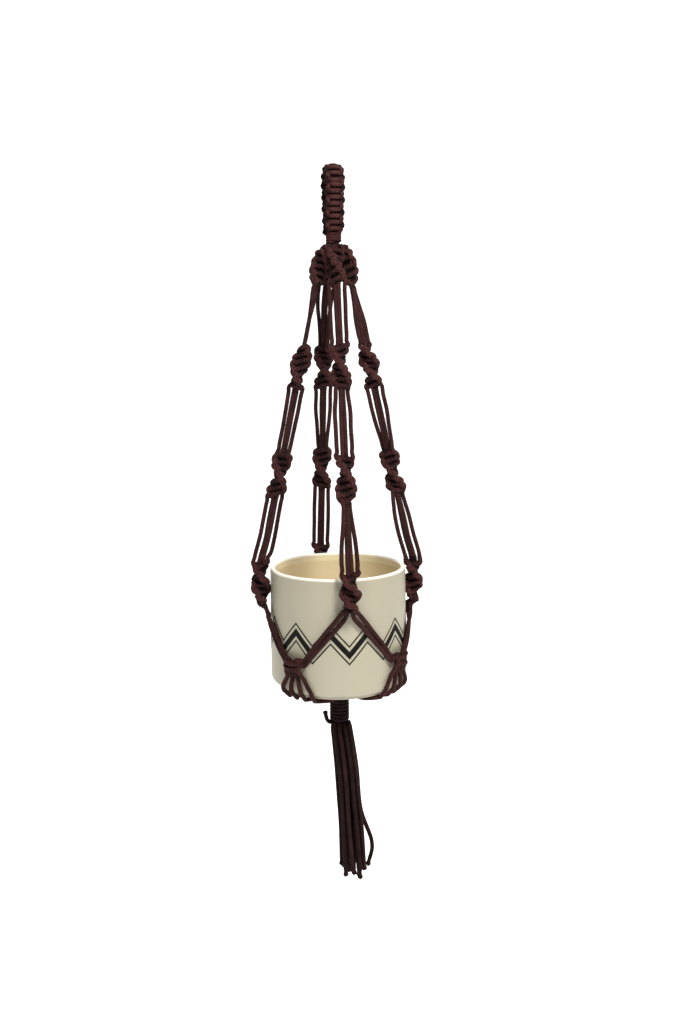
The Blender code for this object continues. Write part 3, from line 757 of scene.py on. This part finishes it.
def band_frame(line, along, reach):
    """The point, the inward direction and the up direction at a distance along the band."""
    spot = np.array([np.interp(reach, along, line[:, i]) for i in range(3)])
    ahead = np.array([
        np.interp(reach + 1 * MM, along, line[:, i]) - np.interp(reach - 1 * MM, along, line[:, i]) for i in range(3)
    ])
    up = -unit(ahead)
    inwards = np.cross(up, vec(1, 0, 0))
    return spot, inwards, up


band_line = loop_line()
band_along = np.concatenate([[0.0], np.cumsum(np.linalg.norm(np.diff(band_line, axis=0), axis=1))])
rows = 2 * int(round(band_along[-1] / BAND_ROW / 2))
row_height = band_along[-1] / rows
across_scale = (BAND_WIDTH / 2 - 0.0027) / 0.0086


def band_painted_shade(points):
    """Painted shade between the band's bars, painted light on their tops."""
    nearest_places = np.argmin(np.linalg.norm(points[:, None] - band_line[None], axis=2), axis=1)
    out = np.linalg.norm((points - band_line[nearest_places])[:, 1:], axis=1)
    return 1.3 * np.clip((out - 0.0030) / 0.0026, 0, 1) - 0.75


loop_piece = Piece("hanging_loop_cords")
for route, tone in ((FRONT_ROUTE, 0.5), (BACK_ROUTE, 0.6)):
    points = []
    for pair in range(rows // 2):
        for x, y, z in route:
            reach = (2 * pair + 0.5 - z) * row_height
            spot, inwards, up = band_frame(band_line, band_along, min(max(reach, 0.0), band_along[-1]))
            depth = y * 0.86 * MM
            points.append(spot + vec(x * across_scale * MM, 0, 0) + inwards * depth + shake(0.14 * MM))
    spot, inwards, up = band_frame(band_line, band_along, 0.0)
    points[:0] = [spot + vec(0.003 * (1 if route is BACK_ROUTE else -1), 0, -0.003)]
    spot, inwards, up = band_frame(band_line, band_along, band_along[-1])
    points.append(spot + vec(0.003 * (1 if route is BACK_ROUTE else -1), 0, -0.003))
    line = smooth_line(points, 1.3 * MM)
    loop_piece.add_tube(Tube(line, 0.00250, 10), cap_first=True, cap_last=True, tone=tone, shade=band_painted_shade)
# The filler strands are darker than the band's cords: painted shade between the bars.
for place, size in ((-0.0060, 0.0016), (-0.0023, 0.0023), (0.0023, 0.0023), (0.0060, 0.0016)):
    fill = smooth_line([band_line[k] + vec(place, 0, 0) for k in range(0, len(band_line), 6)], 3 * MM)
    loop_piece.add_tube(Tube(fill, size, 8), cap_first=True, cap_last=True, tone=-0.3)
loop_piece.finish(cord, "loop", ["hanging_loop"])


# ---------------------------------------------------------------- wraps and bundles
def coil(middle_radius, top, end, turns, tilt=0.0, start=0.0):
    """A helix that winds down from top to end."""
    count = int(turns * 16)
    points = []
    for k in range(count + 1):
        share = k / count
        angle = start + math.tau * turns * share
        sway = tilt * math.cos(angle)
        radius = middle_radius + 0.0001 * math.sin(angle * 3.1)
        height = top + (end - top) * share + sway
        points.append(vec(radius * math.cos(angle), radius * math.sin(angle), height))
    return points


neck = Piece("neck_wrap_coils")
wrap_radius = 0.0021
neck_line = coil(NECK_RADIUS - wrap_radius, NECK_TOP - 0.0015, NECK_END + 0.0022, 3.4, 0.0006, math.radians(100))
neck_line = [neck_line[0] * vec(0.55, 0.55, 1), *neck_line, neck_line[-1] * vec(0.55, 0.55, 1)]
line, radii = tipped(smooth_line(neck_line, 1.4 * MM), wrap_radius, start=True)
neck.add_tube(Tube(line, radii, 10), cap_first=True, cap_last=True, tone=0.5)
neck.finish(cord, "neck", ["neck_wrap"])

core = Piece("neck_core_strands")
for ring, (count, radius) in enumerate(((1, 0.0), (6, 0.0031))):
    for n in range(count):
        azimuth = 360 * n / count
        line = smooth_line([polar(radius, azimuth + 12 * s, NECK_TOP - 0.0006 + (NECK_END + 0.0006 - NECK_TOP) * s)
                            for s in (0, 0.5, 1)], 2.5 * MM)
        core.add_tube(Tube(line, 0.0017, 8), cap_first=True, cap_last=True, tone=0.3)
core.finish(cord, "neck", ["neck_core"])

bundle = Piece("crown_bundle_strands")
pivot_height = NECK_END - 0.006
for count, radius in ((1, 0.0), (6, 0.0032), (9, 0.0060)):
    for n in range(count):
        azimuth = 360 * n / count + 9 * count
        heights = (NECK_END + 0.0002, NECK_END - 0.003, pivot_height - 0.002, pivot_height - 0.0055)
        spreads = (0.86, 1.0, 0.97, 0.72)
        points = [polar(radius * spread, azimuth + 5 * k, z) for k, (z, spread) in enumerate(zip(heights, spreads))]
        line, radii = tipped(smooth_line(points, 1.6 * MM), 0.0018, start=True)
        bundle.add_tube(Tube(line, radii, 8), cap_first=True, cap_last=True, tone=0.4)
bundle.finish(cord, "crown", ["crown_bundle"])

# These strands are darker than the arms' cords: painted shade under the pot.
base_core = Piece("base_core_strands")
for n in range(16):
    azimuth = 45.0 * (n // 4) * 2 - 45.0 + (-1.5, -0.5, 0.5, 1.5)[n % 4] * 22.5
    inner = 0.0034 if n % 2 else 0.0058
    points = [
        polar(GATHER_RADIUS, azimuth, GATHER),
        polar(GATHER_RADIUS - 0.0026, azimuth, GATHER - 0.0004),
        polar(inner + 0.0022, azimuth, GATHER - 0.0026),
        polar(inner, azimuth, WRAP_TOP - 0.002),
        polar(inner, azimuth + 20, (WRAP_TOP + WRAP_END) / 2),
        polar(inner * 0.9, azimuth + 40, WRAP_END + 0.0045),
    ]
    line = smooth_line(points, 1.8 * MM)
    radii = np.interp(line[:, 2], [WRAP_TOP - 0.002, GATHER], [0.0015, CORD_RADIUS])
    line, tips = tipped(line, 0.0015)
    tips[: len(radii)] = radii
    base_core.add_tube(Tube(line, tips, 8), cap_first=True, cap_last=True, tone=-0.1 + 0.2 * rng.rand())
base_core.finish(cord, "base", ["base_core"])

base_wrap = Piece("base_wrap_coils")
turns = 8.0
coil_points = coil(BASE_WRAP_RADIUS - wrap_radius, WRAP_TOP - 0.0022, WRAP_END + 0.0026, turns, 0.0004, math.pi)
tail = [
    vec(-0.0092, -0.0030, WRAP_END + 0.0012),
    vec(-0.0128, -0.0022, WRAP_END + 0.0030),
    vec(-0.0144, -0.0012, WRAP_END + 0.0072),
    vec(-0.0150, -0.0004, WRAP_END + 0.0108),
]
start = [coil_points[0] * vec(0.6, 0.6, 1)]
line, radii = tipped(smooth_line(start + coil_points + tail, 1.5 * MM), wrap_radius, swell=1.25, start=True)
# Darker than the arms' cords: painted shade under the pot.
base_wrap.add_tube(Tube(line, radii, 10), cap_first=True, cap_last=True, tone=-0.25)
base_wrap.finish(cord, "base", ["base_wrap"])


# ---------------------------------------------------------------- tassel
def tassel_points(ring, number):
    count, first_azimuth, *pitches = TASSEL_RINGS[ring]
    top_radius, end_radius = (CORD_PITCH * share for share in pitches)
    azimuth = first_azimuth + 360.0 * number / count
    order = (number * 7 + ring * 5) % 16
    length = TASSEL_LENGTH - TASSEL_STAGGER * order / 15
    clearance = CORD_RADIUS + top_radius * math.sin(math.radians(TASSEL_SWING))
    top = TASSEL_TOP - clearance
    end = TASSEL_TOP - length
    points = []
    for share in (0.0, 0.3, 0.6, 0.85, 1.0):
        radius = top_radius + (end_radius - top_radius) * share**0.8
        points.append(polar(radius, azimuth, top + (end - top) * share))
    if ring == 2 and number == 0:
        outwards = polar(1, azimuth, 0)
        points[3] += outwards * CURL_OUT
        points[4] += outwards * CURL_OUT / 4
    return points


def lean(spot):
    """The tassel hangs a few millimetres towards +X."""
    share = min(1.0, max(0.0, (TASSEL_TOP - spot[2]) / TASSEL_LENGTH))
    return spot + vec(0.0138 * share**0.6, 0, 0)


number_of = 0
body_names = {name for name in frame["bodies"]}
for ring, (count, *_) in enumerate(TASSEL_RINGS):
    for number in range(count):
        number_of += 1
        name = f"tassel_cord_{number_of:02d}"
        chosen = [lean(p) for p in tassel_points(ring, number)]
        root = chosen[0] * vec(0.62, 0.62, 1) + vec(0, 0, 0)
        root[2] = WRAP_END + 0.0016
        shoulder = chosen[0] * vec(0.80, 0.80, 1)
        shoulder[2] = (root[2] + chosen[0][2]) / 2 + 0.0004
        line = smooth_line([root, shoulder, *chosen], 2.6 * MM)
        waver = 0.0005 * np.sin(np.linspace(0, 9, len(line)) + number_of * 1.7)
        ramp = np.linspace(0, 1, len(line))
        line[:, 0] += waver * ramp
        line[:, 1] += waver[::-1] * ramp
        tube_line, radii = tipped(line, CORD_RADIUS, swell=1.32, start=True)
        radii[-5] *= 0.9
        tube = Tube(tube_line, radii, 10)
        piece = Piece(f"{name}_strand")
        # Darker than the arms' cords: painted shade under the pot.
        piece.add_tube(tube, cap_first=True, cap_last=True, tone=-0.25 + 0.3 * rng.rand())
        # A few loose fibres at the cut end
        end, ahead = line[-1], unit(line[-1] - line[-3])
        for k in range(5):
            out = unit(rng.rand(3) - 0.5 + ahead * 0.9)
            fibre = smooth_line([end, end + out * 0.0018, end + out * 0.0030 + shake(0.0008)], 0.9 * MM)
            piece.add_tube(Tube(fibre, 0.00022, 4), cap_last=True, tone=0.6)
        body = name if name in body_names else "tassel"
        item = piece.finish(cord, body, [name])


# ---------------------------------------------------------------- pot
def arc(radius, height, size, start, end, steps):
    angles = [math.radians(start + (end - start) * k / steps) for k in range(steps + 1)]
    return [(radius + size * math.cos(a), height + size * math.sin(a)) for a in angles]


def pot_profile():
    inside = POT_RADIUS - POT_WALL
    deck = POT_BASE + FOOT_HEIGHT
    floor = deck + POT_FLOOR
    foot_inside = FOOT_RADIUS - FOOT_WIDTH
    soft = 0.0007
    profile = [(0.0, floor), (inside * 0.5, floor), (inside - POT_CORNER, floor)]
    profile += arc(inside - POT_CORNER, floor + POT_CORNER, POT_CORNER, -75, 0, 5)
    profile += [(inside, RIM - 0.075), (inside, RIM - 0.0085), (inside - 0.0002, RIM - 0.0078), (inside, RIM - 0.0070)]
    profile += arc(inside + RIM_ROUND, RIM - RIM_ROUND, RIM_ROUND, 180, 90, 6)
    profile += arc(POT_RADIUS - RIM_ROUND, RIM - RIM_ROUND, RIM_ROUND, 90, 0, 6)
    profile += [(POT_RADIUS, RIM - 0.02), (POT_RADIUS, RIM - 0.06), (POT_RADIUS, RIM - 0.10)]
    profile += arc(POT_RADIUS - POT_CORNER, deck + POT_CORNER, POT_CORNER, 0, -84, 8)
    profile += [(FOOT_RADIUS, deck)]
    profile += arc(FOOT_RADIUS - soft, POT_BASE + soft, soft, 0, -90, 3)
    profile += arc(foot_inside + soft, POT_BASE + soft, soft, -90, -180, 3)
    profile += [(foot_inside, deck), (foot_inside * 0.5, deck), (0.0, deck)]
    return profile


def turned(name, profile, sides, material):
    points, rows_, faces = [], [], []
    for radius, height in profile:
        if radius <= 0:
            rows_.append([len(points)] * sides)
            points.append((0, 0, height))
            continue
        rows_.append(list(range(len(points), len(points) + sides)))
        points += [tuple(polar(radius, 360 * n / sides, height)) for n in range(sides)]
    for upper, lower in zip(rows_, rows_[1:]):
        for n in range(sides):
            after = (n + 1) % sides
            faces.append(tuple(dict.fromkeys((upper[n], lower[n], lower[after], upper[after]))))
    mesh = bpy.data.meshes.new(name)
    mesh.from_pydata(points, [], faces)
    mesh.materials.append(material)
    mesh.shade_smooth()
    mesh.set_sharp_from_angle(angle=math.radians(50))
    item = bpy.data.objects.new(name, mesh)
    bpy.context.collection.objects.link(item)
    return item


pot_item = turned("pot_body", pot_profile(), 160, glaze)
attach(pot_item, "pot")
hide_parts("pot")

# ---------------------------------------------------------------- painted band
# Three plain zigzag stripes round the wall, a broad one between two thin ones
ZIGZAGS = 12
ZIGZAG_RISE = 0.010  # of a corner above the band's middle
BAND_MIDDLE = POT_BASE + 0.055
STRIPES = ((-0.0085, 0.0020), (0.0, 0.0075), (0.0085, 0.0020))  # each one's height and width
STRIPE_STEPS = 8  # along each straight side of the zigzag
PROUD, SUNK = 0.00015, 0.00035


def stripe(shift, width):
    """A closed zigzag ring, set into the wall: the corners of its section, column by column."""
    corners = []
    for column in range(2 * ZIGZAGS * STRIPE_STEPS):
        side, along = divmod(column, STRIPE_STEPS)
        climb = 2 * along / STRIPE_STEPS - 1
        middle = BAND_MIDDLE + shift + ZIGZAG_RISE * (climb if side % 2 == 0 else -climb)
        azimuth = 180.0 * column / (ZIGZAGS * STRIPE_STEPS)
        for radius, rise in ((PROUD, 0.5), (PROUD, -0.5), (-SUNK, -0.5), (-SUNK, 0.5)):
            corners.append(tuple(polar(POT_RADIUS + radius, azimuth, middle + rise * width)))
    return corners


band_points, band_faces = [], []
for shift, width in STRIPES:
    ring, first = stripe(shift, width), len(band_points)
    for n in range(0, len(ring), 4):
        for corner in range(4):
            here, below = first + n + corner, first + n + (corner + 1) % 4
            beside = first + (n + 4) % len(ring)
            band_faces.append((here, below, beside + (corner + 1) % 4, beside + corner))
    band_points += ring
mesh = bpy.data.meshes.new("painted_band")
mesh.from_pydata(band_points, [], band_faces)
mesh.materials.append(black)
band = bpy.data.objects.new("painted_band", mesh)
bpy.context.collection.objects.link(band)
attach(band, "pot")

# ---------------------------------------------------------------- floor, light and camera
FLOOR = -0.80


def sweep():
    """A pale floor that curves up into a wall far behind."""
    profile = [(-6.0, FLOOR), (1.6, FLOOR)]
    for k in range(1, 9):
        angle = math.pi / 2 * k / 8
        profile.append((1.6 + 1.4 * math.sin(angle), FLOOR + 1.4 * (1 - math.cos(angle))))
    profile.append((3.0, FLOOR + 5.0))
    points, faces = [], []
    for y, z in profile:
        points += [(-7.0, y, z), (7.0, y, z)]
    for k in range(len(profile) - 1):
        faces.append((2 * k, 2 * k + 1, 2 * k + 3, 2 * k + 2))
    mesh = bpy.data.meshes.new("studio_floor")
    mesh.from_pydata(points, [], faces)
    mesh.shade_smooth()
    item = bpy.data.objects.new("studio_floor", mesh)
    bpy.context.collection.objects.link(item)
    pale = bpy.data.materials.new("studio_pale")
    pale.use_nodes = True
    shader = pale.node_tree.nodes["Principled BSDF"]
    shader.inputs["Base Color"].default_value = (0.93, 0.93, 0.92, 1)
    shader.inputs["Roughness"].default_value = 0.95
    shader.inputs["Specular IOR Level"].default_value = 0.0
    shader.inputs["Emission Color"].default_value = (1.0, 1.0, 1.0, 1.0)
    shader.inputs["Emission Strength"].default_value = 0.62
    mesh.materials.append(pale)
    return item


def backdrop():
    """A pale room behind the floor for the other views. It gives no light and no shadow."""
    points = [tuple(polar(5.5 * math.cos(tilt), 15.0 * k, FLOOR + 5.5 * math.sin(tilt)))
              for tilt in (0.0, 0.4, 0.8, 1.2, 1.5) for k in range(24)]
    faces = [(24 * r + k, 24 * r + (k + 1) % 24, 24 * (r + 1) + (k + 1) % 24, 24 * (r + 1) + k)
             for r in range(4) for k in range(24)]
    faces.append(tuple(range(96, 120)))
    mesh = bpy.data.meshes.new("studio_backdrop")
    mesh.from_pydata(points, [], faces)
    item = bpy.data.objects.new("studio_backdrop", mesh)
    bpy.context.collection.objects.link(item)
    item.visible_diffuse = item.visible_glossy = item.visible_transmission = item.visible_shadow = False
    white = bpy.data.materials.new("studio_white")
    white.use_nodes = True
    shader = white.node_tree.nodes["Principled BSDF"]
    shader.inputs["Base Color"].default_value = (0.0, 0.0, 0.0, 1)
    shader.inputs["Specular IOR Level"].default_value = 0.0
    shader.inputs["Emission Color"].default_value = (1.0, 1.0, 1.0, 1.0)
    shader.inputs["Emission Strength"].default_value = 0.95
    mesh.materials.append(white)
    return item


sweep()
backdrop()


def area_light(name, place, target, size, power, colour=(1, 1, 1)):
    data = bpy.data.lights.new(name, "AREA")
    data.shape = "DISK"
    data.size = size
    data.energy = power
    data.color = colour
    item = bpy.data.objects.new(name, data)
    bpy.context.collection.objects.link(item)
    item.location = place
    item.rotation_euler = (Vector(target) - Vector(place)).to_track_quat("-Z", "Y").to_euler()
    return item


area_light("key_light", (0.42, -1.35, 1.15), (0, 0, -0.38), 0.55, 52.0, (1.0, 0.985, 0.96))
area_light("fill_light", (-1.4, -1.4, 0.2), (0, 0, -0.4), 1.4, 4.0)
area_light("top_light", (0.1, 0.3, 1.5), (0, 0, -0.4), 1.0, 9.0)

world = bpy.data.worlds.new("studio_world")
world.use_nodes = True
world.node_tree.nodes["Background"].inputs[0].default_value = (1.0, 1.0, 1.0, 1.0)
world.node_tree.nodes["Background"].inputs[1].default_value = 0.13
bpy.context.scene.world = world
bpy.context.scene.view_settings.view_transform = "Standard"

CAMERA_AZIMUTH = -8.5
CAMERA_DISTANCE = 0.979
CAMERA_HEIGHT = -0.204
lens = bpy.data.cameras.new("camera")
lens.lens = 33.08
lens.sensor_width = 36.0
lens.shift_x = 0.0062
lens.shift_y = -0.1387
lens.dof.use_dof = False
camera = bpy.data.objects.new("camera", lens)
bpy.context.collection.objects.link(camera)
turn = math.radians(CAMERA_AZIMUTH)
camera.location = (CAMERA_DISTANCE * math.sin(turn), -CAMERA_DISTANCE * math.cos(turn), CAMERA_HEIGHT)
level = Vector((-math.sin(turn), math.cos(turn), 0)).to_track_quat("-Z", "Y").to_matrix().to_4x4()
roll = Matrix.Rotation(math.radians(-0.74), 4, "Z")
camera.rotation_euler = (level @ roll).to_euler()
bpy.context.scene.camera = camera
